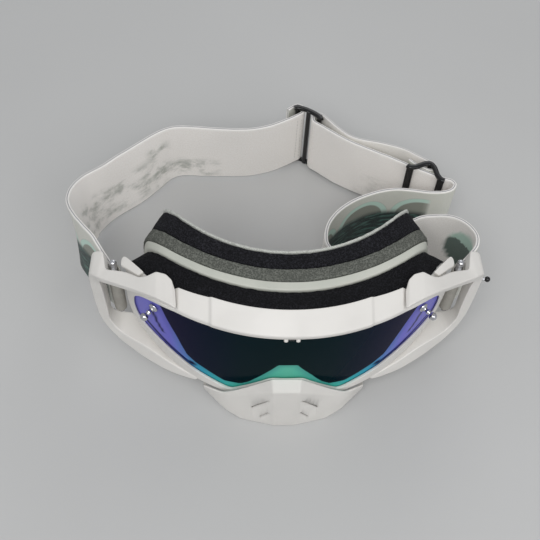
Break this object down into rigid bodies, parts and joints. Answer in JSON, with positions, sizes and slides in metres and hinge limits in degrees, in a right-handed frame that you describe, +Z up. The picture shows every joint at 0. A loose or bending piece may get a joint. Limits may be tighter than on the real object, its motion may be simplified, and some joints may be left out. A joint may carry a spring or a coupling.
{
  "type": "motorcycle goggles",
  "caption": "White motorcycle goggles with a dark mirrored lens, layered face foam, removable nose guard, strap outriggers and a wide adjustable elastic strap.",
  "frame": {"origin": "middle of the flat underside of the nose guard, in the frame's symmetry plane", "axes": "+Z up, +Y from the lens towards the wearer's head, +X to the right when the lens is seen from the front"},
  "size_m": [0.2134, 0.1791, 0.1005],
  "materials": {
    "frame_white": "satin white moulded plastic",
    "rim_grey": "soft light-grey moulded plastic",
    "mirror_lens": "mirror-coated dark teal, violet at the edge",
    "black_foam": "open-cell black foam",
    "grey_foam": "closed-cell grey foam, finely speckled",
    "fleece": "brushed light fleece",
    "chrome": "polished",
    "strap_webbing": "woven off-white elastic webbing, brushed inside",
    "webbing_grey": "woven warm-grey webbing",
    "black_plastic": "glossy black moulded plastic"
  },
  "bodies": {
    "frame": {"front_frame": "frame_white", "inner_frame": "rim_grey", "lens": "mirror_lens", "lens_peg_left": "frame_white", "lens_peg_right": "frame_white", "lens_peg_bar": "black_plastic", "vent_foam_top": "black_foam", "vent_foam_bottom": "black_foam", "foam_grey_layer": "grey_foam", "foam_black_layer": "black_foam", "foam_fleece_layer": "fleece", "outrigger_left": "frame_white", "outrigger_right": "frame_white", "side_fin_left": "frame_white", "side_fin_right": "frame_white", "strap_pin_left": "chrome", "strap_pin_right": "chrome", "tear_off_post_left": "chrome", "tear_off_post_right": "chrome", "outrigger_post": "chrome", "strap_left": "strap_webbing", "strap_right": "strap_webbing", "strap_return_layer": "strap_webbing", "strap_ring": "black_plastic"},
    "nose_guard": {"nose_guard": "frame_white"},
    "end_loop_left": {"strap_end_loop_left": "webbing_grey"},
    "end_loop_right": {"strap_end_loop_right": "webbing_grey"},
    "slider": {"strap_slider": "black_plastic", "strap_slider_fold": "strap_webbing"}
  },
  "joints": [
    {"name": "nose_guard_pull", "type": "slide", "parent": "frame", "child": "nose_guard", "axis": [0, -1, 0], "range_m": [0, 0.014]},
    {"name": "end_loop_left_turn", "type": "hinge", "parent": "frame", "child": "end_loop_left", "pos_m": [-0.083, 0.0458, 0.0567], "axis": [0, 0, 1], "range_deg": [-20, 20]},
    {"name": "end_loop_right_turn", "type": "hinge", "parent": "frame", "child": "end_loop_right", "pos_m": [0.083, 0.0458, 0.0567], "axis": [0, 0, 1], "range_deg": [-20, 20]},
    {"name": "slider_travel", "type": "slide", "parent": "frame", "child": "slider", "axis": [-0.8859, 0.4639, 0], "range_m": [0, 0.016]}
  ]
}
